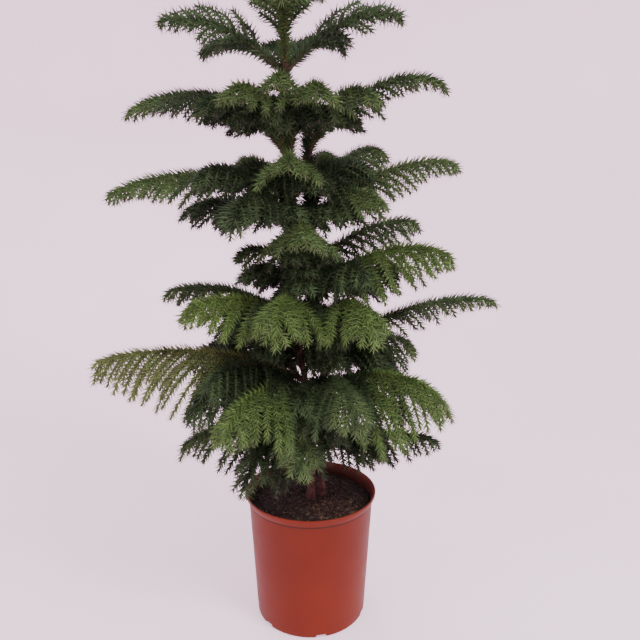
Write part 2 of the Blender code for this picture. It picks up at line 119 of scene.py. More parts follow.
def plain_mesh(thing, name):
    """The evaluated object as a plain mesh on a new object; the first one goes."""
    graph = bpy.context.evaluated_depsgraph_get()
    mesh = bpy.data.meshes.new_from_object(thing.evaluated_get(graph), depsgraph=graph)
    mesh.name = name
    bpy.data.objects.remove(thing, do_unlink=True)
    done = bpy.data.objects.new(name, mesh)
    bpy.context.scene.collection.objects.link(done)
    return done


def finish_piece(thing, slot, *nodes):
    """It rides on the plant's one body and stands for these nodes; the slot is not used."""
    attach(thing, "root")
    if nodes:
        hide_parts(*nodes)
    return thing


def turned(name, profile, sides, material=None):
    """A closed profile of (radius, height) points, turned about Z; radius 0 is a pole."""
    vertices, rings = [], []
    for radius, height in profile:
        if radius == 0.0:
            rings.append([len(vertices)])
            vertices.append((0.0, 0.0, height))
            continue
        rings.append(list(range(len(vertices), len(vertices) + sides)))
        for i in range(sides):
            angle = tau * i / sides
            vertices.append((radius * cos(angle), radius * sin(angle), height))
    faces = []
    for lower, upper in zip(rings, rings[1:]):
        for i in range(sides):
            j = (i + 1) % sides
            if len(lower) == 1:
                faces.append((lower[0], upper[j], upper[i]))
            elif len(upper) == 1:
                faces.append((lower[i], lower[j], upper[0]))
            else:
                faces.append((lower[i], lower[j], upper[j], upper[i]))
    return add_piece(name, vertices, faces, material)


def wall_radius(height):
    """Outer radius of the pot's tapered wall."""
    share = height / (POT_HEIGHT - POT_BAND_HEIGHT)
    return POT_FOOT_RADIUS + share * (POT_BAND_FOOT_RADIUS - POT_FOOT_RADIUS)


def arc(centre_r, centre_z, radius, start, end, count=5):
    """Points of a rounding in the profile, between two angles in degrees."""
    angles = [radians(start + (end - start) * i / (count - 1)) for i in range(count)]
    return [(centre_r + radius * cos(a), centre_z + radius * sin(a)) for a in angles]


def pot_profile():
    """From the pole of the underside, out and up the wall, over the rim and down inside."""
    band, inner_floor = POT_HEIGHT - POT_BAND_HEIGHT, FOOT_RECESS + POT_FLOOR
    wall, inner = wall_radius(band), POT_RIM_RADIUS - POT_WALL
    ledge = wall + POT_BAND_STEP
    # The last two rings hold the edges of the painted shade line under the band.
    heights = [band * i / 12 for i in range(1, 12)] + [band - SHADE_LINE_HEIGHT - SHADE_LINE_FADE, band - SHADE_LINE_HEIGHT]
    return [
        (0.0, 0.0), (FOOT_BOSS_RADIUS - POT_CORNER, 0.0), (FOOT_BOSS_RADIUS, POT_CORNER),
        (FOOT_BOSS_RADIUS + FOOT_DRAFT, FOOT_RECESS), (FOOT_RING_INNER - FOOT_DRAFT, FOOT_RECESS),
        (FOOT_RING_INNER, POT_CORNER), (FOOT_RING_INNER + POT_CORNER, 0.0),
        *arc(POT_FOOT_RADIUS - POT_EDGE_RADIUS, POT_EDGE_RADIUS, POT_EDGE_RADIUS, -90, 0, 7),
        *[(wall_radius(height), height) for height in heights],
        (wall, band - POT_CORNER), (wall - POT_CORNER, band),
        (ledge - POT_CORNER, band), *arc(ledge - POT_CORNER, band + POT_CORNER, POT_CORNER, -90, -10, 4),
        (POT_RIM_RADIUS - BAND_LEAN, POT_HEIGHT - BAND_TOP),
        *arc(POT_RIM_RADIUS - POT_LIP, POT_HEIGHT - POT_LIP, POT_LIP, 0, 90, 6),
        *arc(inner + POT_LIP, POT_HEIGHT - POT_LIP, POT_LIP, 90, 170, 5),
        (wall - POT_WALL + BAND_LEAN, band + FLARE_BEND), (wall - POT_WALL, band - FLARE_LOW),
        (wall_radius(inner_floor) - POT_WALL, inner_floor), (0.0, inner_floor)]


def feed(tree, node, inputs):
    """Give a node its inputs, each a plain value or another node's output."""
    for label, value in inputs.items():
        if isinstance(value, bpy.types.NodeSocket):
            tree.links.new(value, node.inputs[label])
        else:
            node.inputs[label].default_value = value


def step(tree, kind, inputs=None, **settings):
    """One new node with its settings and inputs."""
    node = tree.nodes.new(kind)
    for label, value in settings.items():
        setattr(node, label, value)
    feed(tree, node, inputs or {})
    return node


def sums(tree, operation, a, b=0.0, c=0.0):
    """A Math node's result."""
    return step(tree, "ShaderNodeMath", {0: a, 1: b, 2: c}, operation=operation).outputs[0]


def new_material(name):
    """A material, its node tree, its shader and the object's own coordinates."""
    material = bpy.data.materials.new(name)
    material.use_nodes = True
    tree = material.node_tree
    place = step(tree, "ShaderNodeTexCoord").outputs["Object"]
    return material, tree, tree.nodes["Principled BSDF"], place


def mottle(tree, place, scale, detail=2.0):
    """Noise from 0 to 1."""
    given = {"Vector": place, "Scale": scale, "Detail": detail}
    return step(tree, "ShaderNodeTexNoise", given).outputs["Fac"]


def spread(tree, value, onto, ends=(0.0, 1.0)):
    """A value between its two ends, spread onto two others and held there."""
    given = {"Value": value, "From Min": ends[0], "From Max": ends[1],
             "To Min": onto[0], "To Max": onto[1]}
    return step(tree, "ShaderNodeMapRange", given).outputs["Result"]


def colour_ramp(tree, value, stops):
    """Colours that run from stop to stop with a value."""
    ramp = step(tree, "ShaderNodeValToRGB", {"Fac": value})
    marks = ramp.color_ramp.elements
    marks.remove(marks[1])
    marks[0].position, marks[0].color = stops[0][0], (*stops[0][1], 1.0)
    for position, colour in stops[1:]:
        marks.new(position).color = (*colour, 1.0)
    return ramp.outputs["Color"]


def laid_over(tree, share, under, colour):
    """A plain colour over another by a share."""
    return step(tree, "ShaderNodeMix", {"Factor": share, "A": under, "B": (*colour, 1.0)},
                data_type="RGBA").outputs["Result"]


def add_bump(tree, place, scale, detail, strength, depth):
    """A fine relief on the shader's normal."""
    relief = mottle(tree, place, scale, detail)
    bump = step(tree, "ShaderNodeBump", {"Strength": strength, "Distance": depth, "Height": relief})
    feed(tree, tree.nodes["Principled BSDF"], {"Normal": bump.outputs["Normal"]})


def pot_plastic():
    """Satin terracotta plastic: moulding clouds, a few pale specks of painted glint, and painted shade by
    attribute.
    """
    material, tree, shader, place = new_material("pot_plastic")
    clouds = mottle(tree, place, 9.0, 4.0)
    terracotta = colour_ramp(tree, clouds, [(0.32, (0.120, 0.0150, 0.0050)),
                                            (0.70, (0.147, 0.0195, 0.0067))])
    # Pale specks scattered by chance over the pot: painted glints.
    dots = step(tree, "ShaderNodeTexVoronoi", {"Vector": place, "Scale": 62.0}).outputs["Distance"]
    painted_glints = sums(tree, "MULTIPLY", spread(tree, dots, (0.0, 1.0), (0.055, 0.045)),
                  spread(tree, mottle(tree, place, 11.0), (0.0, 1.0), (0.62, 0.64)))
    unshaded = laid_over(tree, painted_glints, terracotta, (0.72, 0.42, 0.33))
    # Painted shade from the attribute, a little uneven with the clouds, laid over as near-black brown.
    painted_shade = step(tree, "ShaderNodeAttribute", attribute_name="painted_shade").outputs["Fac"]
    share = step(tree, "ShaderNodeMath", {0: painted_shade, 1: spread(tree, clouds, (0.75, 1.15))},
                 operation="MULTIPLY", use_clamp=True)
    shaded = laid_over(tree, share.outputs[0], unshaded, (0.030, 0.014, 0.010))
    gloss = spread(tree, mottle(tree, place, 30.0, 6.0), (0.36, 0.56))
    feed(tree, shader, {"Base Color": shaded, "Roughness": gloss, "Specular IOR Level": 0.14})
    add_bump(tree, place, 900.0, 2.0, 0.25, 0.0002)
    return material


def hole_cutters():
    """Round drain holes in the raised floor, and wedges that open the foot ring outwards."""
    cutters = []
    for i in range(DRAIN_HOLES):
        angle = tau * (i + 0.5) / DRAIN_HOLES
        low, high = -CUT_SPARE, FOOT_RECESS + POT_FLOOR + 2 * CUT_SPARE
        ends = [(0.0, low), (DRAIN_HOLE_RADIUS, low), (DRAIN_HOLE_RADIUS, high), (0.0, high)]
        cutter = turned("drain_cutter", ends, 32)
        cutter.data.transform(Matrix.Translation((DRAIN_HOLE_CIRCLE * cos(angle),
                                                  DRAIN_HOLE_CIRCLE * sin(angle), 0.0)))
        cutters.append(cutter)
    inner, outer = FOOT_RING_INNER - 2 * CUT_SPARE, POT_FOOT_RADIUS + 5 * CUT_SPARE
    slope = (NOTCH_WIDTH - NOTCH_TOP_WIDTH) / 2 / NOTCH_HEIGHT
    wide, narrow = NOTCH_WIDTH / 2 + slope * CUT_SPARE, NOTCH_TOP_WIDTH / 2
    corners = [(-wide, -CUT_SPARE), (wide, -CUT_SPARE), (narrow, NOTCH_HEIGHT), (-narrow, NOTCH_HEIGHT)]
    for i in range(NOTCHES):
        turn = Matrix.Rotation(radians(NOTCH_FIRST_AZIMUTH) + tau * i / NOTCHES, 4, "Z")
        vertices = [turn @ Vector((r, y, z)) for r in (inner, outer) for y, z in corners]
        faces = [(0, 3, 2, 1), (4, 5, 6, 7), (0, 1, 5, 4), (1, 2, 6, 5), (2, 3, 7, 6), (3, 0, 4, 7)]
        cutters.append(add_piece("notch_cutter", vertices, faces))
    return cutters


def cut_away(thing, cutters, name):
    """One Boolean takes all the cutters out, and they go."""
    tools = bpy.data.collections.new(name + "_tools")
    bpy.context.scene.collection.children.link(tools)
    for cutter in cutters:
        bpy.context.scene.collection.objects.unlink(cutter)
        tools.objects.link(cutter)
    modifier = thing.modifiers.new("cut", "BOOLEAN")
    modifier.operation = "DIFFERENCE"
    modifier.solver = "EXACT"
    modifier.operand_type = "COLLECTION"
    modifier.collection = tools
    done = plain_mesh(thing, name)
    for cutter in cutters:
        bpy.data.objects.remove(cutter, do_unlink=True)
    bpy.data.collections.remove(tools)
    return done


def pot_painted_shade(x, y, z):
    """Painted shade: dark inside the wall, darkest in the corner under the band, and faint on the outer
    wall, growing towards the band.
    """
    band, out = POT_HEIGHT - POT_BAND_HEIGHT, (x * x + y * y) ** 0.5
    if z > POT_HEIGHT - POT_LIP - UNSHADED_UNDER_LIP or z < FOOT_RECESS + POT_FLOOR / 2:
        return 0.0
    flare = max(0.0, z - band) / POT_BAND_HEIGHT * (POT_RIM_RADIUS - POT_BAND_FOOT_RADIUS)
    if out < min(wall_radius(z), POT_BAND_FOOT_RADIUS) + flare - POT_WALL * 0.6:
        return PAINTED_SHADE_INSIDE
    in_line = -SHADE_LINE_HEIGHT - BAND_NEAR < z - band < BAND_NEAR
    if in_line and out < wall_radius(band) + POT_BAND_STEP * 0.8:
        return PAINTED_SHADE_UNDER_BAND
    return 0.0 if z > band else PAINTED_SHADE_OUTSIDE * min(1.0, max(0.0, (z - PAINTED_SHADE_FROM) / PAINTED_SHADE_RISE))


pot_blank = turned("pot_blank", pot_profile(), POT_SIDES, pot_plastic())
pot_shell = cut_away(pot_blank, hole_cutters(), "pot_shell")
pot_shell.data.shade_smooth()
pot_shell.data.set_sharp_from_angle(angle=radians(32))
# The painted shade rides on the pot's points as an attribute.
pot_shell.data.attributes.new("painted_shade", "FLOAT", "POINT").data.foreach_set(
    "value", [pot_painted_shade(*vertex.co) for vertex in pot_shell.data.vertices])
finish_piece(pot_shell, "pot_plastic", "pot")


# ---- the soil ----------------------------------------------------------------------------
# Dark peat and bark compost that fills the pot to a finger's width below the rim. Its top is
# lumpy, sinks to the wall, and carries crumbs and the plant's own dry, fallen needles.
SOIL_TOP = 0.2040
SOIL_CROWN = 0.0030
SOIL_RINGS = 34
SOIL_SIDES = 110
SOIL_GAP = 0.0006               # between the soil and the pot's wall
SOIL_SINK = 0.0006              # its mean height under SOIL_TOP
MOUND_SCALE, MOUND_HEIGHT = 38, 0.0016
CRUMB_SCALE, CRUMB_HEIGHT = 190, 0.0011
LITTER_TIP, LITTER_FOOT = 0.02, 0.065   # a fallen needle's radii, to its length
LITTER_TILT = (72, 96)          # degrees from upright
PATCH_RINGS, PATCH_SIDES = 8, 24        # of the surfaces that crumbs are strewn on
STREWN_INPUTS = [("Count per Area", "Float", 1.0), ("Smallest", "Float", 0.001),
                 ("Largest", "Float", 0.002), ("Flatness", "Float", 0.6), ("Seed", "Int", 1),
                 ("Material", "Material", None)]


def soil_height(x, y):
    """Height of the lumpy top: low mounds with finer crumbling on them."""
    out = (x * x + y * y) ** 0.5 / wall_radius(SOIL_TOP)
    mound = noise.fractal(Vector((x * MOUND_SCALE, y * MOUND_SCALE, 1.7)), 0.9, 2.1, 3)
    crumb = noise.fractal(Vector((x * CRUMB_SCALE, y * CRUMB_SCALE, 4.2)), 0.8, 2.2, 3)
    level = SOIL_TOP - SOIL_CROWN * out * out - SOIL_SINK
    return level + MOUND_HEIGHT * mound + CRUMB_HEIGHT * crumb


def soil_disc(middle, radius, rings, sides):
    """Vertices and faces of a round patch of the soil's lumpy top."""
    vertices = [(*middle, soil_height(*middle))]
    for ring in range(1, rings + 1):
        for i in range(sides):
            x = middle[0] + radius * ring / rings * cos(tau * i / sides)
            y = middle[1] + radius * ring / rings * sin(tau * i / sides)
            vertices.append((x, y, soil_height(x, y)))
    faces = []
    for i in range(sides):
        j = (i + 1) % sides
        faces.append((0, 1 + i, 1 + j))
        for ring in range(rings - 1):
            a, b = 1 + ring * sides, 1 + (ring + 1) * sides
            faces.append((a + i, b + i, b + j, a + j))
    return vertices, faces


def soil_mesh():
    """Top, side and underside of the root ball as one closed skin."""
    clear, floor_z = POT_WALL + SOIL_GAP, FOOT_RECESS + POT_FLOOR + SOIL_GAP / 2
    edge = wall_radius(SOIL_TOP - SOIL_CROWN) - clear
    vertices, faces = soil_disc((0.0, 0.0), edge, SOIL_RINGS, SOIL_SIDES)
    foot, low = wall_radius(floor_z) - clear, len(vertices)
    vertices += [(foot * cos(tau * i / SOIL_SIDES), foot * sin(tau * i / SOIL_SIDES), floor_z)
                 for i in range(SOIL_SIDES)]
    vertices.append((0.0, 0.0, floor_z))
    for i in range(SOIL_SIDES):
        a, b, c = low - SOIL_SIDES, low, (i + 1) % SOIL_SIDES
        faces += [(a + i, b + i, b + c, a + c), (b + c, b + i, len(vertices) - 1)]
    return vertices, faces


def noise_ramp(name, scale, detail, stops, roughness, bump_scale, bump_depth):
    """A rough natural surface: colours by noise between the stops, and a fine bump."""
    material, tree, shader, place = new_material(name)
    colour = colour_ramp(tree, mottle(tree, place, scale, detail), stops)
    feed(tree, shader, {"Base Color": colour, "Roughness": roughness, "Specular IOR Level": 0.3})
    add_bump(tree, place, bump_scale, 5.0, 0.7, bump_depth)
    return material


def new_tree(name, inputs):
    """An empty Geometry Nodes tree, and its named inputs beside its geometry."""
    tree = bpy.data.node_groups.new(name, "GeometryNodeTree")
    tree.interface.new_socket("Geometry", in_out="INPUT", socket_type="NodeSocketGeometry")
    for label, kind, value in inputs:
        socket = tree.interface.new_socket(label, in_out="INPUT", socket_type="NodeSocket" + kind)
        if value is not None:
            socket.default_value = value
    tree.interface.new_socket("Geometry", in_out="OUTPUT", socket_type="NodeSocketGeometry")
    return tree, step(tree, "NodeGroupInput").outputs


def chance(tree, least, most, seed):
    """A random number for each spot."""
    return step(tree, "FunctionNodeRandomValue", {2: least, 3: most, "Seed": seed},
                data_type="FLOAT").outputs[1]


def finish_tree(tree, given, spots, shape, turn, size):
    """One shape on every spot, made real and painted, as the tree's result."""
    placed = step(tree, "GeometryNodeInstanceOnPoints",
                  {"Points": spots, "Instance": shape, "Rotation": turn, "Scale": size})
    solid = step(tree, "GeometryNodeRealizeInstances", {"Geometry": placed.outputs["Instances"]})
    painted = step(tree, "GeometryNodeSetMaterial",
                   {"Geometry": solid.outputs["Geometry"], "Material": given["Material"]})
    step(tree, "NodeGroupOutput", {"Geometry": painted.outputs["Geometry"]})
    return tree


def grow(guide, tree, name, values):
    """Run a tree on a guide object and keep the result as a plain mesh."""
    modifier = guide.modifiers.new("grow", "NODES")
    modifier.node_group = tree
    for item in tree.interface.items_tree:
        if item.item_type == "SOCKET" and item.in_out == "INPUT" and item.name in values:
            modifier[item.identifier] = values[item.name]
    return plain_mesh(guide, name)


def scatter_tree(name, needles=False):
    """Lumps or fallen needles, strewn over a surface, each turned and sized by chance."""
    tree, given = new_tree(name, STREWN_INPUTS)
    spots = step(tree, "GeometryNodeDistributePointsOnFaces",
                 {"Mesh": given["Geometry"], "Density": given["Count per Area"], "Seed": given["Seed"]})
    if needles:
        awl = step(tree, "GeometryNodeMeshCone", {"Vertices": 3, "Side Segments": 1, "Depth": 1.0,
                                                  "Radius Top": LITTER_TIP, "Radius Bottom": LITTER_FOOT})
        shape = step(tree, "GeometryNodeTransform",
                     {"Geometry": awl.outputs["Mesh"], "Translation": (0.0, 0.0, -0.5)})
        low, high = LITTER_TILT
        least, most = (radians(low), 0.0, 0.0), (radians(high), 0.2, tau)
    else:
        shape = step(tree, "GeometryNodeMeshIcoSphere", {"Radius": 1.0, "Subdivisions": 1})
        least, most = (0.0, 0.0, 0.0), (tau, tau, tau)
    turn = step(tree, "FunctionNodeRandomValue", {"Min": least, "Max": most, "Seed": 3},
                data_type="FLOAT_VECTOR")
    size = chance(tree, given["Smallest"], given["Largest"], 5)
    scale = step(tree, "ShaderNodeCombineXYZ",
                 {"X": size, "Y": size, "Z": sums(tree, "MULTIPLY", size, given["Flatness"])})
    return finish_tree(tree, given, spots.outputs["Points"], shape.outputs[0], turn.outputs[0],
                       scale.outputs[0])


soil_material = noise_ramp("potting_soil", 160.0, 6.0,
                           [(0.30, (0.006, 0.004, 0.003)), (0.55, (0.018, 0.011, 0.008)),
                            (0.75, (0.042, 0.026, 0.018))], 0.95, 700.0, 0.0012)
soil_top = add_piece("soil_top", *soil_mesh(), soil_material)
soil_top.data.shade_smooth()
finish_piece(soil_top, "potting_soil", "soil")

strewn_lumps = scatter_tree("strewn_lumps")
strewn_needles = scatter_tree("strewn_needles", needles=True)
bark_crumb = noise_ramp("bark_crumb", 240.0, 3.0,
                        [(0.35, (0.020, 0.012, 0.009)), (0.6, (0.060, 0.034, 0.022)),
                         (0.8, (0.120, 0.080, 0.055))], 0.9, 900.0, 0.0006)
litter = noise_ramp("dry_litter", 130.0, 3.0,
                    [(0.35, (0.045, 0.028, 0.018)), (0.55, (0.095, 0.062, 0.040)),
                     (0.72, (0.200, 0.150, 0.100))], 0.8, 900.0, 0.0003)
STREWN = [  # piece, its tree, middle and radius of its patch, and the tree's inputs
    ("soil_crumbs", strewn_lumps, (0.0, 0.0), 0.098, 70000.0, 0.0005, 0.0021, 0.70, 21, soil_material),
    ("bark_chips", strewn_lumps, (0.0, 0.0), 0.096, 9000.0, 0.0010, 0.0032, 0.35, 34, bark_crumb),
    ("fallen_needles", strewn_needles, (0.0, 0.0), 0.088, 34000.0, 0.006, 0.014, 1.0, 55, litter),
    ("needle_drift", strewn_needles, (0.034, -0.040), 0.042, 70000.0, 0.007, 0.017, 1.0, 56, litter)]
for name, tree, middle, radius, *values in STREWN:
    ground = add_piece("strewn_ground", *soil_disc(middle, radius, PATCH_RINGS, PATCH_SIDES))
    given = {label: value for (label, _, _), value in zip(STREWN_INPUTS, values)}
    finish_piece(grow(ground, tree, name, given), "potting_soil")


# ---- the stems ---------------------------------------------------------------------------
# Two woody leaders from one root, reddish brown below and green-brown near the top. Their bark
# is cushioned by the bases of the needles it once bore, in spirals, and cracks a little low down.
STEMS = {
    "tall": dict(foot=0.0092, low=0.0064, tip=0.0014, line=[
        (0.000, 0.000, 0.204), (0.001, 0.000, 0.280), (-0.007, 0.001, 0.400), (-0.017, 0.001, 0.460),
        (-0.029, 0.000, 0.570), (-0.032, 0.000, 0.750), (-0.036, 0.000, 0.889), (-0.036, 0.001, 0.992)]),
    "short": dict(foot=0.0082, low=0.0054, tip=0.0013, line=[
        (0.019, 0.009, 0.204), (0.017, 0.010, 0.280), (0.019, 0.012, 0.380), (0.018, 0.013, 0.465),
        (0.002, 0.013, 0.560), (-0.003, 0.012, 0.703), (-0.004, 0.012, 0.800), (-0.004, 0.012, 0.842)]),
}
FLARE_HEIGHT = 0.0130
BARK_SIDES = 26
BARK_STEP = 0.0013              # between rings of the bark mesh
CUSHION_HEIGHT = 0.0062         # one leaf cushion, along the stem
CUSHIONS_ROUND = 5
CUSHION_DEPTH = 0.00045
CRACK_DEPTH = 0.00028
SMOOTH_BELOW = 0.005            # a stem thinner than this has a finer relief
STEM_SINK = 0.004               # how far the stem's mesh goes into the soil,
STEM_SPREAD = 1.04              # where it is this much thicker


def stem_axis(stem, height):
    """Point on the stem's axis: a smooth curve through its line's points."""
    line = [Vector(p) for p in STEMS[stem]["line"]]
    heights = [p.z for p in line]
    i = min(max(bisect_right(heights, height) - 1, 0), len(line) - 2)
    before, after = line[max(i - 1, 0)], line[min(i + 2, len(line) - 1)]
    a, b = line[i], line[i + 1]
    span = b.z - a.z
    t = (height - a.z) / span
    slope_a = (b - before) / (b.z - before.z) * span
    slope_b = (after - a) / (after.z - a.z) * span
    point = ((2 * t**3 - 3 * t**2 + 1) * a + (t**3 - 2 * t**2 + t) * slope_a
             + (3 * t**2 - 2 * t**3) * b + (t**3 - t**2) * slope_b)
    return Vector((point.x, point.y, height))


def stem_radius(stem, height):
    size = STEMS[stem]
    foot, top = size["line"][0][2], size["line"][-1][2]
    share = (height - foot) / (top - foot)
    flare = (size["foot"] - size["low"]) * exp(-(height - foot) / FLARE_HEIGHT)
    return size["low"] + share * (size["tip"] - size["low"]) + flare


def tube(lines, sides, relief=None):
    """Closed tubes along lists of (point, radius); relief gives extra radius by place."""
    vertices, faces = [], []
    for line in lines:
        first = len(vertices)
        side = None
        for i, (point, radius) in enumerate(line):
            ahead = line[min(i + 1, len(line) - 1)][0] - line[max(i - 1, 0)][0]
            ahead.normalize()
            if side is None:
                side = ahead.cross(UP if abs(ahead.z) < 0.9 else Vector((1.0, 0.0, 0.0)))
            side = (side - ahead * side.dot(ahead)).normalized()
            over = side.cross(ahead)
            for k in range(sides):
                angle = tau * k / sides
                size = radius + (relief(angle, point, radius) if relief else 0.0)
                vertices.append(point + (side * cos(angle) - over * sin(angle)) * size)
        rings = len(line)
        for i in range(rings - 1):
            for k in range(sides):
                a = first + i * sides + k
                b = first + i * sides + (k + 1) % sides
                faces.append((a, b, b + sides, a + sides))
        faces.append(tuple(reversed(range(first, first + sides))))
        faces.append(tuple(range(first + (rings - 1) * sides, first + rings * sides)))
    return vertices, faces


def bark_relief(angle, point, radius):
    """Spiralled leaf cushions, with a shallow groove round each, and rough cracking below."""
    row = point.z / CUSHION_HEIGHT
    column = angle / tau * CUSHIONS_ROUND + 0.5 * floor(row)
    u, v = column - floor(column) - 0.5, row - floor(row) - 0.5
    cushion = max(0.0, 1.0 - 4.4 * u * u) * max(0.0, 1.0 - 3.6 * v * v)
    rough = noise.fractal(Vector((angle * 2.0, point.x * 60, point.z * 260)), 0.8, 2.0, 3)
    fine = min(1.0, radius / SMOOTH_BELOW)
    return fine * (CUSHION_DEPTH * (cushion - 0.5) + CRACK_DEPTH * rough)


bark = noise_ramp("bark", 95.0, 6.0,
                  [(0.28, (0.020, 0.011, 0.009)), (0.50, (0.062, 0.028, 0.020)),
                   (0.66, (0.120, 0.052, 0.034)), (0.82, (0.150, 0.100, 0.075))], 0.82, 620.0, 0.0008)
for stem in STEMS:
    foot, top = STEMS[stem]["line"][0][2], STEMS[stem]["line"][-1][2]
    rings = round((top - foot) / BARK_STEP)
    line = [(stem_axis(stem, foot) - UP * STEM_SINK, stem_radius(stem, foot) * STEM_SPREAD)]
    for i in range(rings + 1):
        height = foot + (top - foot) * i / rings
        line.append((stem_axis(stem, height), stem_radius(stem, height)))
    wood = add_piece("bark_" + stem, *tube([line], BARK_SIDES, bark_relief), bark)
    wood.data.shade_smooth()
    finish_piece(wood, "bark", "stem_" + stem)


# ---- the fronds' limbs -------------------------------------------------------------------
# Each frond hangs on one slender limb that arches out of its stem: brown wood inside, green and
# soft outside. Whorl by whorl from the top down; a limb is thickened by a collar at the stem.
# A whorl: its longest rope, the degrees that ropes droop below level at a frond's base and tip
# and, where they aren't 1.0 and LIMB_BARE, its needles' size and the bare share of its limbs.
# A frond: name, stem, height of its foot, azimuth (0 = +X, 90 = +Y), reach, rise to its crest,
# crest as a share of the reach, dip from crest to tip, its ropes to the whorl's, and its tint.
WHORLS = [
    dict(name="top", rope=0.036, bare=0.30, droop=(-40, -15), fronds=[
        ("front", "tall", 0.958, 262, 0.060, 0.036, 0.95, 0.000, 1.0, "mid"),
        ("left", "tall", 0.964, 142, 0.064, 0.034, 0.95, 0.000, 1.0, "deep"),
        ("right", "tall", 0.961, 20, 0.058, 0.036, 0.95, 0.000, 1.0, "deep")]),
    dict(name="first", rope=0.054, needles=1.10, bare=0.20, droop=(-24, 14), fronds=[
        ("left", "tall", 0.884, 182, 0.181, 0.076, 0.80, 0.001, 1.0, "dim"),
        ("back_left", "tall", 0.890, 140, 0.182, 0.050, 0.75, 0.008, 1.0, "dim"),
        ("right", "tall", 0.886, 2, 0.172, 0.084, 0.82, 0.008, 1.0, "dim"),
        ("back_right", "tall", 0.896, 46, 0.132, 0.048, 0.75, 0.010, 1.0, "dim"),
        ("front", "tall", 0.890, 272, 0.165, 0.072, 0.70, 0.010, 1.15, "mid"),
        ("back", "tall", 0.882, 95, 0.150, 0.060, 0.70, 0.012, 0.8, "dim")]),
    dict(name="second", rope=0.088, droop=(14, 44), fronds=[
        ("left", "tall", 0.764, 180, 0.240, 0.094, 0.52, 0.028, 0.95, "deep"),
        ("front_left", "tall", 0.750, 236, 0.136, 0.108, 0.70, 0.018, 0.9, "mid"),
        ("mid", "tall", 0.776, 266, 0.120, 0.094, 0.75, 0.012, 0.8, "mid"),
        ("front", "tall", 0.760, 294, 0.135, 0.098, 0.70, 0.016, 0.9, "mid"),
        ("front_right", "short", 0.762, 316, 0.130, 0.096, 0.70, 0.018, 0.9, "deep"),
        ("right", "short", 0.776, 5, 0.216, 0.110, 0.76, 0.018, 0.60, "deep"),
        ("back", "tall", 0.772, 102, 0.195, 0.082, 0.65, 0.025, 1.0, "deep")]),
    dict(name="third", rope=0.098, droop=(20, 50), fronds=[
        ("left", "tall", 0.664, 189, 0.270, 0.079, 0.32, 0.032, 0.90, "mid"),
        ("back_left", "tall", 0.704, 132, 0.132, 0.062, 0.80, 0.004, 0.9, "mid"),
        ("back_right", "short", 0.694, 44, 0.178, 0.090, 0.85, 0.012, 0.9, "deep"),
        ("right", "short", 0.664, 8, 0.243, 0.098, 0.85, 0.010, 0.70, "mid"),
        ("front_right", "short", 0.644, 328, 0.130, 0.070, 0.70, 0.018, 0.8, "mid"),
        ("front", "tall", 0.694, 272, 0.120, 0.070, 0.70, 0.012, 0.8, "mid"),
        ("front_left", "tall", 0.652, 246, 0.175, 0.060, 0.60, 0.048, 0.9, "shade"),
        ("low_left", "tall", 0.655, 158, 0.190, 0.046, 0.60, 0.022, 0.9, "shade"),
        ("back", "short", 0.698, 76, 0.170, 0.076, 0.60, 0.025, 0.9, "mid")]),
    dict(name="fourth", rope=0.108, droop=(24, 52), fronds=[
        ("high_front", "tall", 0.604, 281, 0.145, 0.066, 0.65, 0.020, 0.70, "mid"),
        ("high_right", "short", 0.596, 22, 0.198, 0.071, 0.85, 0.012, 0.74, "deep"),
        ("front_right", "short", 0.542, 334, 0.224, 0.094, 0.75, 0.012, 1.00, "bright"),
        ("right", "short", 0.456, 0, 0.282, 0.090, 0.87, 0.008, 0.46, "deep"),
        ("left", "tall", 0.500, 166, 0.226, 0.061, 0.62, 0.012, 0.72, "deep"),
        ("front_left", "tall", 0.508, 213, 0.190, 0.052, 0.70, 0.020, 0.9, "fresh"),
        ("front", "tall", 0.498, 262, 0.165, 0.066, 0.60, 0.050, 0.9, "bright"),
        ("front_mid", "short", 0.490, 298, 0.165, 0.066, 0.60, 0.050, 0.9, "bright"),
        ("back_left", "tall", 0.462, 128, 0.210, 0.050, 0.60, 0.035, 1.0, "deep"),
        ("back", "short", 0.520, 80, 0.222, 0.070, 0.60, 0.035, 1.0, "deep")]),
    dict(name="fifth", rope=0.124, droop=(28, 58), fronds=[
        ("left", "tall", 0.410, 196, 0.326, 0.068, 0.70, 0.012, 1.15, "olive"),
        ("low_left", "tall", 0.398, 218, 0.215, 0.044, 0.55, 0.050, 1.0, "shade"),
        ("right", "short", 0.418, 16, 0.165, 0.056, 0.70, 0.030, 0.8, "deep"),
        ("front_right", "short", 0.386, 330, 0.212, 0.050, 0.60, 0.034, 1.30, "bright"),
        ("front_left", "tall", 0.386, 240, 0.223, 0.045, 0.60, 0.048, 1.0, "bright"),
        ("front", "short", 0.392, 284, 0.190, 0.046, 0.60, 0.048, 0.9, "deep"),
        ("back_left", "tall", 0.406, 138, 0.250, 0.050, 0.60, 0.040, 1.0, "deep"),
        ("back_right", "short", 0.404, 62, 0.240, 0.055, 0.60, 0.040, 1.0, "deep")]),
    dict(name="sixth", rope=0.092, droop=(24, 50), fronds=[
        ("right", "short", 0.284, 350, 0.196, 0.040, 0.75, 0.014, 0.80, "shade"),
        ("front", "tall", 0.328, 266, 0.165, 0.034, 0.55, 0.040, 0.9, "deep"),
        ("front_left", "tall", 0.306, 230, 0.160, 0.022, 0.40, 0.054, 1.0, "shade"),
        ("left", "tall", 0.320, 190, 0.210, 0.024, 0.45, 0.034, 1.15, "deep"),
        ("back_left", "tall", 0.318, 120, 0.205, 0.030, 0.50, 0.045, 1.0, "deep"),
        ("back_right", "short", 0.276, 42, 0.150, 0.024, 0.50, 0.026, 0.9, "deep")]),
]
BOUGHS = ["second_left", "third_left", "third_right", "fourth_front_right", "fourth_right",
          "fifth_left", "fifth_front_right"]    # fronds that a main bough bears
ROLLS = {"first_left": -35, "first_right": 30}  # degrees that a frond is turned about its limb
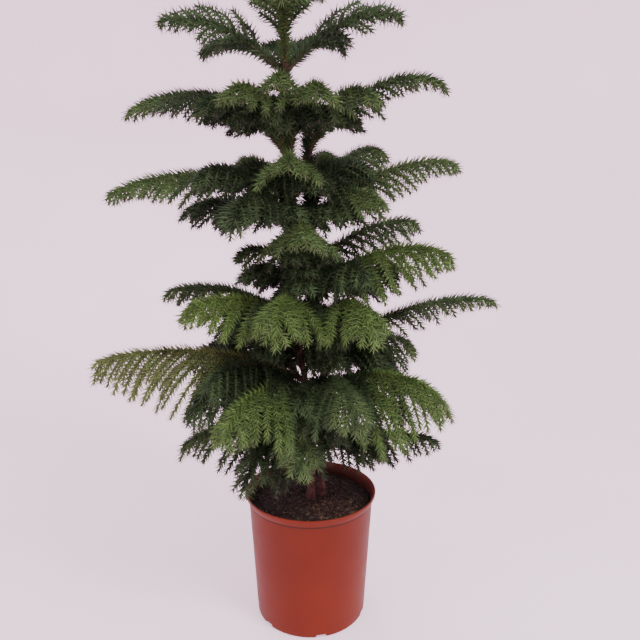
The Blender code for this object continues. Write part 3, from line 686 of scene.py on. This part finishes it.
RACHIS_FOOT_RADIUS = 0.0022     # and more by the reach:
RACHIS_FOOT_GROWTH = 0.0055
RACHIS_TIP_RADIUS = 0.0009
RACHIS_END = 0.97               # share of the reach where the limb runs out in a last rope
RACHIS_STEP = 0.006
LIMB_SIDES = 8
LIMB_BARE = 0.16
COLLAR = 0.30                   # a limb's foot is this much thicker
COLLAR_LENGTH = 0.007
GREEN_FROM = 0.30               # share of the reach where green skin sets in,
GREEN_RISE = 0.45               # and how much further until it is all green
FORK_FROM = 0.118               # below the first whorl, limbs this long fork,
FORK_AT = 0.13                  # at this share of their reach,
FORK_TURN = 36.0                # by this many degrees to either side,
FORK_SIZE = 0.48                # into fronds this share of their own size,
FORK_ROPES = 0.75               # unless their ropes are a smaller share of the whorl's
FORK_THICKNESS = 0.80
FORK_RISE = 0.42                # both as shares of the limb's rise
FORK_DIP = 0.25
FORK_CREST = 0.65
FORK_ROPE = 0.80                # their ropes, to the limb's
FORK_BARE = 0.10
# Short shoots fill the middle, in the shade tint, painted shade: stem, height, how many round it, and the
# first one's azimuth.
SHOOTS = {
    "second": [("tall", 0.722, 1, 165)],
    "third": [("tall", 0.650, 3, 70), ("short", 0.690, 1, 330), ("tall", 0.690, 3, 130),
              ("short", 0.700, 2, 272)],
    "fourth": [("tall", 0.590, 3, 80), ("tall", 0.600, 2, 275), ("short", 0.580, 2, 262),
               ("short", 0.560, 2, 300), ("tall", 0.466, 4, 45), ("tall", 0.556, 5, 70),
               ("short", 0.540, 5, 30), ("short", 0.486, 4, 60)],
    "fifth": [("tall", 0.440, 4, 40), ("short", 0.420, 4, 100)]}
SHOOT_STEP = 0.006              # between the heights of neighbours
SHOOT_LINE = (0.085, 0.034, 0.65, 0.012)        # reach, rise, crest and dip
SHOOT_WHORL = dict(rope=0.062, bare=0.30, droop=(20, 45))


class Frond:
    """One frond's line: up from the stem to a crest, then level or dipping to its tip."""

    def __init__(self, whorl, row):
        (side, self.stem, self.height, azimuth, self.reach, self.rise, self.crest, self.dip,
         self.rope_share, self.tint) = row
        self.name = whorl["name"] + "_" + side
        self.rope, self.droop = whorl["rope"] * self.rope_share, whorl["droop"]
        self.needles, self.bare = whorl.get("needles", 1.0), whorl.get("bare", LIMB_BARE)
        self.roll = ROLLS.get(self.name, 0)
        self.out = Vector((cos(radians(azimuth)), sin(radians(azimuth)), 0.0))
        self.across = UP.cross(self.out)
        self.foot = stem_axis(self.stem, self.height)
        self.foot_radius = RACHIS_FOOT_RADIUS + RACHIS_FOOT_GROWTH * self.reach

    def lift(self, share):
        if share < self.crest:
            return self.rise * (1 - (1 - share / self.crest) ** 2)
        return self.rise - self.dip * ((share - self.crest) / (1 - self.crest)) ** 3

    def point(self, share):
        return self.foot + self.out * (self.reach * share) + UP * self.lift(share)

    def tangent(self, share):
        return (self.point(share + 0.01) - self.point(share - 0.01)).normalized()

    def radius(self, share):
        collar = COLLAR * exp(-share * self.reach / COLLAR_LENGTH)
        return (self.foot_radius + share * (RACHIS_TIP_RADIUS - self.foot_radius)) * (1 + collar)

    def line(self, start, end, spacing):
        count = max(3, round(self.reach * (end - start) / spacing))
        return [start + (end - start) * i / count for i in range(count + 1)]

    def forks(self):
        """Smaller fronds that leave a long limb near its foot, to either side, darker by painted shade.
        """
        if self.reach < FORK_FROM or self.name.startswith("first") or self.rope_share < FORK_ROPES:
            return []
        found = []
        for turn in (FORK_TURN, -FORK_TURN):
            fork = copy(self)
            fork.out = Matrix.Rotation(radians(turn), 3, "Z") @ self.out
            fork.across = UP.cross(fork.out)
            fork.foot = self.point(FORK_AT)
            fork.foot_radius = self.radius(FORK_AT) * FORK_THICKNESS
            fork.reach, fork.rise = self.reach * FORK_SIZE, self.rise * FORK_RISE
            fork.crest, fork.dip = FORK_CREST, self.rise * FORK_DIP
            fork.rope, fork.bare = self.rope * FORK_ROPE, FORK_BARE
            fork.tint, fork.roll = "shade", 0
            found.append(fork)
        return found

    def nodes(self):
        """The CAD nodes that this frond stands for."""
        return (["bough_" + self.name] if self.name in BOUGHS else []) + ["frond_" + self.name]


def limb_bark():
    """Brown wood that turns to soft green skin towards the tip; age is kept on the mesh."""
    material = noise_ramp("limb_bark", 220.0, 4.0,
                          [(0.30, (0.030, 0.016, 0.011)), (0.60, (0.085, 0.042, 0.026)),
                           (0.80, (0.140, 0.085, 0.055))], 0.78, 900.0, 0.0004)
    tree = material.node_tree
    colour = tree.nodes["Principled BSDF"].inputs["Base Color"]
    age = step(tree, "ShaderNodeAttribute", attribute_name="age").outputs["Fac"]
    green = laid_over(tree, age, colour.links[0].from_socket, (0.060, 0.085, 0.025))
    tree.links.new(green, colour)
    return material


def side_growth(whorl_name, fronds):
    """The forks of a whorl's fronds, and the short shoots that stand round the stems there."""
    found = [fork for frond in fronds for fork in frond.forks()]
    for stem, height, count, first in SHOOTS.get(whorl_name, []):
        for i in range(count):
            row = ("shoot", stem, height + SHOOT_STEP * (i % 3), first + 360 * i / count,
                   *SHOOT_LINE, 1.0, "shade")
            found.append(Frond(dict(SHOOT_WHORL, name=whorl_name), row))
    return found


limb_material = limb_bark()
FRONDS = {whorl["name"]: [Frond(whorl, row) for row in whorl["fronds"]] for whorl in WHORLS}
GROWTH = {name: side_growth(name, fronds) for name, fronds in FRONDS.items()}
for whorl_name, fronds in FRONDS.items():
    lines, ages = [], []
    for frond in fronds + GROWTH[whorl_name]:
        shares = frond.line(0.0, RACHIS_END + 0.01, RACHIS_STEP)
        lines.append([(frond.point(s), frond.radius(s)) for s in shares])
        for s in shares:
            ages += [min(1.0, max(0.0, (s - GREEN_FROM) / GREEN_RISE))] * LIMB_SIDES
    limbs = add_piece("limbs_" + whorl_name, *tube(lines, LIMB_SIDES), limb_material)
    limbs.data.attributes.new("age", "FLOAT", "POINT").data.foreach_set("value", ages)
    limbs.data.shade_smooth()
    finish_piece(limbs, "bark", *[node for frond in fronds for node in frond.nodes()])


# ---- the ropes of needles ----------------------------------------------------------------
# Both sides of a limb carry even rows of limp side twigs, and each twig is clothed all round
# with soft awl-shaped needles that lean forward, so that it hangs like a rope and ends bluntly.
ROPE_FORWARD = 52.0             # degrees between a rope's foot and its limb
ROPE_SWEEP = 24.0               # how far it turns forward by its end
ROPE_SPACING = 0.0158
ROPE_LONGEST_AT = 0.45          # share of the reach; the first rope is shorter by ROPE_GAIN,
ROPE_FIRST, ROPE_GAIN = 0.85, 0.15
ROPE_LOSS = 0.78                # and the last one by this much
ROPE_LOSS_POWER = 0.8
ROPE_SCATTER = 6.0              # degrees by chance, in droop and in turn
ROPE_CHANCE = (0.86, 1.10)      # least and most of a rope's length by chance
ROPE_STAGGER = 0.2              # of the spacing, between the rows of the two sides
ROPE_FOLLOW = 0.35              # how far a rope keeps its limb's own slope at first
ROPE_BENDS = 7                  # straight stretches in a rope
ROPE_LIFT = 26.0                # a rope leaves the limb this much above its mean droop,
ROPE_FALL = 18.0                # and ends this much below it
TIP_ROPE = 0.0005
TIP_CURL = 0.005                # how far the limb's own end bows down
STEM_CLEAR = 0.004              # a rope ends this near a stem or over the pot's rim,
SOIL_CLEAR = 0.006              # over the soil,
RIM_OUTSIDE = 0.003             # outside the rim,
RIM_INSIDE = 0.008              # and inside it
TWIG_RADIUS = 0.0021            # with the needles' bases that wrap it
TWIG_TAPER = 0.5
NEEDLE_LENGTH = 0.0145
NEEDLE_WIDTH = 0.0026
NEEDLE_SPACING = 0.00088
SPIRAL_ANGLE = 137.5            # degrees from one needle to the next
NEEDLE_LEAN = 54.0
NEEDLE_NOD = 26.0               # how much further a rope's last needles lean in
NEEDLE_WOBBLE = 0.16            # radians by chance
NEEDLE_CHANCE = (0.82, 1.08)    # least and most of a needle's size by chance
SHADE_COARSENESS = 1.25         # the inner needles are fewer and wider
LIMB_NEEDLE_SIZE = 1.15         # the limb's own needles are longer than the ropes'
LIMB_NEEDLE_STARTS = (0.050, 0.056)
LIMB_NEEDLE_STEP = 0.008
BUD_LENGTH = 0.0050
BUD_RADIUS = 0.0017
BUD_SHAPE = ((-0.2, 1.0), (0.3, 1.0), (1.0, 0.3))       # along it, and its thickness there
# One green at four strengths: shade and deep are painted shade for the crown's shadowed inside and back,
# mid is the plain green, and bright is painted light on the front fronds. Olive and fresh are the
# needles' own hues.
TINTS = {
    "shade": (0.020, 0.036, 0.015), "deep": (0.043, 0.078, 0.030), "mid": (0.072, 0.124, 0.040),
    "olive": (0.126, 0.164, 0.054), "bright": (0.089, 0.158, 0.041), "fresh": (0.108, 0.188, 0.045)}
# Which tints a frond's ropes take, from its inner to its outer end: darker inwards, as painted shade.
TINT_RUN = {
    "shade": ["shade", "shade", "deep"], "dim": ["shade", "deep", "deep"],
    "deep": ["shade", "deep", "mid"], "mid": ["deep", "mid", "mid"],
    "olive": ["deep", "olive", "olive"], "bright": ["mid", "bright", "bright"],
    "fresh": ["bright", "fresh", "fresh"]}


def rope_length(frond, share):
    """Short by the stem, longest before the middle, then falling evenly towards the tip."""
    if share < ROPE_LONGEST_AT:
        return frond.rope * (ROPE_FIRST + ROPE_GAIN * share / ROPE_LONGEST_AT)
    past = (share - ROPE_LONGEST_AT) / (1 - ROPE_LONGEST_AT)
    return frond.rope * (1.0 - ROPE_LOSS * past ** ROPE_LOSS_POWER)


def in_the_way(point):
    """Whether a rope would run into a stem, the soil or the pot's rim."""
    for stem in STEMS:
        line = STEMS[stem]["line"]
        if line[0][2] < point.z < line[-1][2]:
            gap = point - stem_axis(stem, point.z)
            if gap.length < stem_radius(stem, point.z) + STEM_CLEAR:
                return True
    out = (point.x**2 + point.y**2) ** 0.5
    return point.z < POT_HEIGHT + STEM_CLEAR and out < POT_RIM_RADIUS + RIM_OUTSIDE and (
        point.z < SOIL_TOP + SOIL_CLEAR or out > POT_RIM_RADIUS - RIM_INSIDE)


def rope_points(frond, share, side, length, rng):
    """A rope's line: off the limb to one side and forward, then over and down."""
    droop = frond.droop[0] + (frond.droop[1] - frond.droop[0]) * share
    droop = droop + rng.uniform(-ROPE_SCATTER, ROPE_SCATTER) - side * frond.roll
    forward = frond.tangent(share)
    turn = ROPE_FORWARD + rng.uniform(-ROPE_SCATTER, ROPE_SCATTER)
    point = frond.point(share)
    points = [point.copy()]
    for i in range(ROPE_BENDS):
        along_rope = (i + 0.5) / ROPE_BENDS
        angle = radians(turn - ROPE_SWEEP * along_rope)
        level = forward * cos(angle) + frond.across * (side * sin(angle))
        level.z = 0.0
        level.normalize()
        drop = radians(droop - ROPE_LIFT + (ROPE_LIFT + ROPE_FALL) * along_rope)
        ahead = level * cos(drop) + UP * (forward.z * ROPE_FOLLOW * (1 - along_rope) - sin(drop))
        point = point + ahead.normalized() * (length / ROPE_BENDS)
        if in_the_way(point):
            break
        points.append(point.copy())
    return points


def tip_points(frond):
    """The limb's own end, clothed as a rope."""
    start, end = frond.point(RACHIS_END), frond.point(1.0)
    end = end + (end - start).normalized() * TIP_ROPE
    return [start.lerp(end, i / 5) - UP * (TIP_CURL * (i / 5) ** 2) for i in range(6)]


def turned_on(tree, rotation, axis, angle):
    """A rotation turned further about its own axis."""
    euler = step(tree, "ShaderNodeCombineXYZ", {axis: angle}).outputs[0]
    turn = step(tree, "FunctionNodeEulerToRotation", {0: euler}).outputs[0]
    return step(tree, "FunctionNodeRotateRotation", {"Rotation": rotation, "Rotate By": turn},
                rotation_space="LOCAL").outputs[0]


def needle_tree():
    """Needles in one long spiral round every line of the guide, leaning to its tip."""
    tree, given = new_tree("needles_round_twigs", [
        ("Spacing", "Float", 0.001), ("Needle Length", "Float", 0.01), ("Needle Width", "Float", 0.001),
        ("Lean", "Float", 1.0), ("Tip Lean", "Float", 0.5), ("Seed", "Int", 1),
        ("Material", "Material", None)])
    half = sums(tree, "MULTIPLY", given["Needle Width"], 0.5)
    awl = step(tree, "GeometryNodeMeshCone", {"Vertices": 3, "Side Segments": 1, "Radius Top": 0.0,
                                              "Radius Bottom": half, "Depth": given["Needle Length"]})
    tilt = step(tree, "ShaderNodeCombineXYZ", {"Y": given["Lean"]}).outputs[0]
    needle = step(tree, "GeometryNodeTransform", {"Geometry": awl.outputs["Mesh"], "Rotation": tilt})

    twigs = step(tree, "GeometryNodeMeshToCurve", {"Mesh": given["Geometry"]})
    spots = step(tree, "GeometryNodeResampleCurve",
                 {"Curve": twigs.outputs["Curve"], "Length": given["Spacing"]}, mode="LENGTH")
    share = step(tree, "GeometryNodeSplineParameter").outputs["Factor"]
    index = step(tree, "GeometryNodeInputIndex").outputs[0]
    tangent = step(tree, "GeometryNodeInputTangent").outputs[0]
    aim = step(tree, "FunctionNodeAlignRotationToVector", {"Vector": tangent}, axis="Z").outputs[0]
    wobble = chance(tree, -NEEDLE_WOBBLE, NEEDLE_WOBBLE, given["Seed"])
    spiral = sums(tree, "MULTIPLY_ADD", index, radians(SPIRAL_ANGLE), wobble)
    near_tip = sums(tree, "MULTIPLY", sums(tree, "POWER", share, 9.0), given["Tip Lean"])
    nod = sums(tree, "MULTIPLY_ADD", wobble, 0.8, sums(tree, "MULTIPLY", near_tip, -1.0))
    leaning = turned_on(tree, turned_on(tree, aim, "Z", spiral), "Y", nod)

    profile = step(tree, "ShaderNodeFloatCurve", {"Value": share})
    curve = profile.mapping.curves[0]
    curve.points[0].location, curve.points[1].location = (0.0, 0.80), (1.0, 0.74)
    curve.points.new(0.15, 1.0)
    curve.points.new(0.85, 0.96)
    profile.mapping.update()
    size = step(tree, "GeometryNodeInputNamedAttribute", {"Name": "needle_size"}, data_type="FLOAT")
    scale = sums(tree, "MULTIPLY", sums(tree, "MULTIPLY", profile.outputs["Value"], size.outputs[0]),
                 chance(tree, *NEEDLE_CHANCE, 9))
    even = step(tree, "ShaderNodeCombineXYZ", {0: scale, 1: scale, 2: scale})
    return finish_tree(tree, given, spots.outputs["Curve"], needle.outputs["Geometry"], leaning,
                       even.outputs[0])


def guide_lines(name, lines, sizes):
    """Lines as bare edges; needle_size rides on their points."""
    vertices, edges, values = [], [], []
    for line, size in zip(lines, sizes):
        first = len(vertices)
        vertices += line
        edges += [(first + i, first + i + 1) for i in range(len(line) - 1)]
        values += [size] * len(line)
    guide = add_piece(name, vertices, [], edges=edges)
    guide.data.attributes.new("needle_size", "FLOAT", "POINT").data.foreach_set("value", values)
    return guide


def needle_skin(name, colour):
    """Waxy green, a little lighter and darker by patches, with a soft gloss."""
    material, tree, shader, place = new_material(name)
    patches = mottle(tree, place, 70.0, 3.0)
    stops = [(0.36, [c * 0.70 for c in colour]), (0.64, [c * 1.32 for c in colour])]
    feed(tree, shader, {"Base Color": colour_ramp(tree, patches, stops), "Specular IOR Level": 0.22,
                        "Roughness": spread(tree, patches, (0.46, 0.68))})
    return material


needles_round_twigs = needle_tree()
skins = {tint: needle_skin("needle_" + tint, colour) for tint, colour in TINTS.items()}
# The twigs' dark green is their own colour deepened by painted shade, for the shadow between the needles.
twig_skin = noise_ramp("twig_skin", 260.0, 3.0, [(0.35, (0.028, 0.050, 0.018)),
                                                 (0.65, (0.058, 0.082, 0.028))], 0.7, 900.0, 0.0003)
bud_skin = noise_ramp("bud_skin", 300.0, 3.0, [(0.35, (0.026, 0.022, 0.013)),
                                               (0.65, (0.062, 0.048, 0.028))], 0.75, 900.0, 0.0003)
rope_rng = random.Random(5)
for whorl_name, fronds in FRONDS.items():
    by_tint = {tint: [] for tint in TINTS}
    ropes, buds = [], []
    nodes_here = [node for frond in fronds for node in frond.nodes()]
    for frond in fronds + GROWTH[whorl_name]:
        clothed = RACHIS_END - frond.bare
        count = max(4, round(frond.reach * clothed / ROPE_SPACING))
        run = TINT_RUN[frond.tint]
        jobs = [(RACHIS_END, 0)]
        for k in range(count):
            for side in (1, -1):
                along = (k + 0.5 + ROPE_STAGGER * side) / count
                jobs.append((frond.bare + clothed * along, side))
        for share, side in jobs:
            if side:
                length = rope_length(frond, share) * rope_rng.uniform(*ROPE_CHANCE)
                points = rope_points(frond, share, side, length, rope_rng)
            else:
                points = tip_points(frond)
            if len(points) < 3:
                continue
            place = min(2, max(0, int(share * 3 + rope_rng.uniform(-0.5, 0.5))))
            by_tint[run[place]].append((points, frond.needles))
            last = len(points) - 1
            ropes.append([(point, TWIG_RADIUS * (1.0 - TWIG_TAPER * (i / last) ** 3))
                          for i, point in enumerate(points)])
            ahead = (points[-1] - points[-2]).normalized() * BUD_LENGTH
            buds.append([(points[-1] + ahead * along, BUD_RADIUS * thick)
                         for along, thick in BUD_SHAPE])
        for start in LIMB_NEEDLE_STARTS:
            limb = [frond.point(s) for s in frond.line(start, RACHIS_END, LIMB_NEEDLE_STEP)]
            by_tint[run[1]].append((limb, LIMB_NEEDLE_SIZE * frond.needles))
    for kind, lines, sides, skin in (("twigs_", ropes, 4, twig_skin), ("buds_", buds, 3, bud_skin)):
        piece = add_piece(kind + whorl_name, *tube(lines, sides), skin)
        piece.data.shade_smooth()
        finish_piece(piece, "bark", *nodes_here)
    for tint, rows in by_tint.items():
        if not rows:
            continue
        guide = guide_lines("rope_guide", [row for row, _ in rows], [size for _, size in rows])
        coarse = SHADE_COARSENESS if tint == "shade" else 1.0
        piece = grow(guide, needles_round_twigs, "needles_%s_%s" % (whorl_name, tint),
                     {"Spacing": NEEDLE_SPACING * coarse, "Needle Length": NEEDLE_LENGTH,
                      "Needle Width": NEEDLE_WIDTH * coarse, "Lean": radians(NEEDLE_LEAN),
                      "Tip Lean": radians(NEEDLE_NOD), "Seed": 7, "Material": skins[tint]})
        finish_piece(piece, "needles", *nodes_here)


# ---- needles on the stems ----------------------------------------------------------------
# The stems keep their own needles, longer than the ropes': dense and dark green towards the top, brown
# and thinner below, and only a few dry ones above the soil. Their dark green and brown are their own
# colour deepened by painted shade, for the shadow in the crown's middle.
STEM_NEEDLE_LENGTH = 0.0210
STEM_NEEDLE_WIDTH = 0.0028
STEM_NEEDLE_LEAN = 62.0
STEM_GUIDE_STEP = 0.006
STRETCHES = [  # stem, from, to, spacing, skin, size
    ("tall", 0.880, 0.991, 0.00035, "deep", 0.80), ("tall", 0.640, 0.890, 0.00026, "shade", 0.95),
    ("tall", 0.455, 0.640, 0.00036, "dark", 1.0), ("tall", 0.250, 0.455, 0.0030, "dry", 0.8),
    ("short", 0.640, 0.841, 0.00026, "shade", 0.95), ("short", 0.455, 0.640, 0.00036, "dark", 1.0),
    ("short", 0.250, 0.455, 0.0030, "dry", 0.8)]
# The shade and dark skins paint the shade inside the crown.
STEM_SKINS = {"deep": skins["deep"], "shade": skins["shade"],
              "dark": needle_skin("needle_dark", (0.042, 0.046, 0.022)),
              "dry": needle_skin("needle_dry", (0.085, 0.045, 0.028))}
for number, (stem, low, high, spacing, skin, size) in enumerate(STRETCHES):
    count = round((high - low) / STEM_GUIDE_STEP)
    row = [stem_axis(stem, low + (high - low) * i / count) for i in range(count + 1)]
    piece = grow(guide_lines("stem_guide", [row], [size]), needles_round_twigs,
                 "stem_needles_%s_%d" % (stem, number),
                 {"Spacing": spacing, "Needle Length": STEM_NEEDLE_LENGTH,
                  "Needle Width": STEM_NEEDLE_WIDTH, "Lean": radians(STEM_NEEDLE_LEAN),
                  "Tip Lean": 0.0, "Seed": 31 + number, "Material": STEM_SKINS[skin]})
    finish_piece(piece, "needles")


# ---- floor, backdrop, light and camera ---------------------------------------------------
# A pale pink-grey sheet, faintly lit from behind, that is flat under the pot and curves up all
# round; one soft key light high on the right, weaker ones on the left and behind, and a pale sky.
SHEET_FLAT = 0.75
SHEET_RADIUS = 2.60
SHEET_HEIGHT = 2.60
SHEET_CURVE = 1.20              # height of its curve
SHEET_TOP = -0.0004             # just under the pot
SHEET_STEPS = 24                # in its curve
SHEET_SIDES = 96
CAMERA_PLACE = (0.0157, -1.004, 0.735)
CAMERA_DOWN = 12.45             # degrees
sheet_profile = [(0.0, SHEET_TOP), (0.25, SHEET_TOP), (SHEET_FLAT, SHEET_TOP)]
for i in range(1, SHEET_STEPS + 1):
    a = radians(90 * i / SHEET_STEPS)
    out = SHEET_FLAT + (SHEET_RADIUS - SHEET_FLAT) * sin(a)
    sheet_profile.append((out, SHEET_CURVE * (1 - cos(a))))
sheet_profile.append((SHEET_RADIUS, SHEET_HEIGHT))
sheet_material = noise_ramp("backdrop_sheet", 3.0, 3.0, [(0.3, (0.80, 0.665, 0.735)),
                                                         (0.7, (0.84, 0.705, 0.775))], 0.9, 60.0, 0.0004)
feed(sheet_material.node_tree, sheet_material.node_tree.nodes["Principled BSDF"],
     {"Emission Color": (1.0, 0.775, 0.94, 1.0), "Emission Strength": 0.67})
sheet = turned("backdrop", sheet_profile, SHEET_SIDES, sheet_material)
for polygon in sheet.data.polygons:
    polygon.flip()
sheet.data.shade_smooth()
sheet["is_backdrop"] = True

LAMPS = [  # name, place, aim, size, watts, colour
    ("key_light", (1.15, -1.15, 2.10), (0.0, 0.0, 0.55), 0.8, 50.0, (1.0, 0.98, 0.94)),
    ("fill_light", (-1.5, -1.2, 1.4), (0.0, 0.0, 0.5), 1.6, 10.0, (0.93, 0.93, 1.0)),
    ("back_light", (-0.7, 1.7, 1.9), (0.0, 0.0, 0.5), 1.6, 22.0, (1.0, 0.97, 0.96))]
for name, place, aim, size, watts, colour in LAMPS:
    light = bpy.data.lights.new(name, "AREA")
    light.shape, light.size, light.energy, light.color = "DISK", size, watts, colour
    lamp = bpy.data.objects.new(name, light)
    bpy.context.scene.collection.objects.link(lamp)
    lamp.location = place
    lamp.rotation_euler = (Vector(aim) - Vector(place)).to_track_quat("-Z", "Y").to_euler()
    lamp.visible_camera = False
world = bpy.data.worlds.new("studio_sky")
bpy.context.scene.world = world
world.use_nodes = True
feed(world.node_tree, world.node_tree.nodes["Background"],
     {"Color": (0.95, 0.93, 1.0, 1.0), "Strength": 0.34})

camera = bpy.data.cameras.new("view_camera")
camera.lens, camera.sensor_width = 36.0, 36.0
viewer = bpy.data.objects.new("view_camera", camera)
bpy.context.scene.collection.objects.link(viewer)
viewer.location = CAMERA_PLACE
viewer.rotation_euler = (radians(90 - CAMERA_DOWN), 0.0, 0.0)
bpy.context.scene.camera = viewer

low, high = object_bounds()
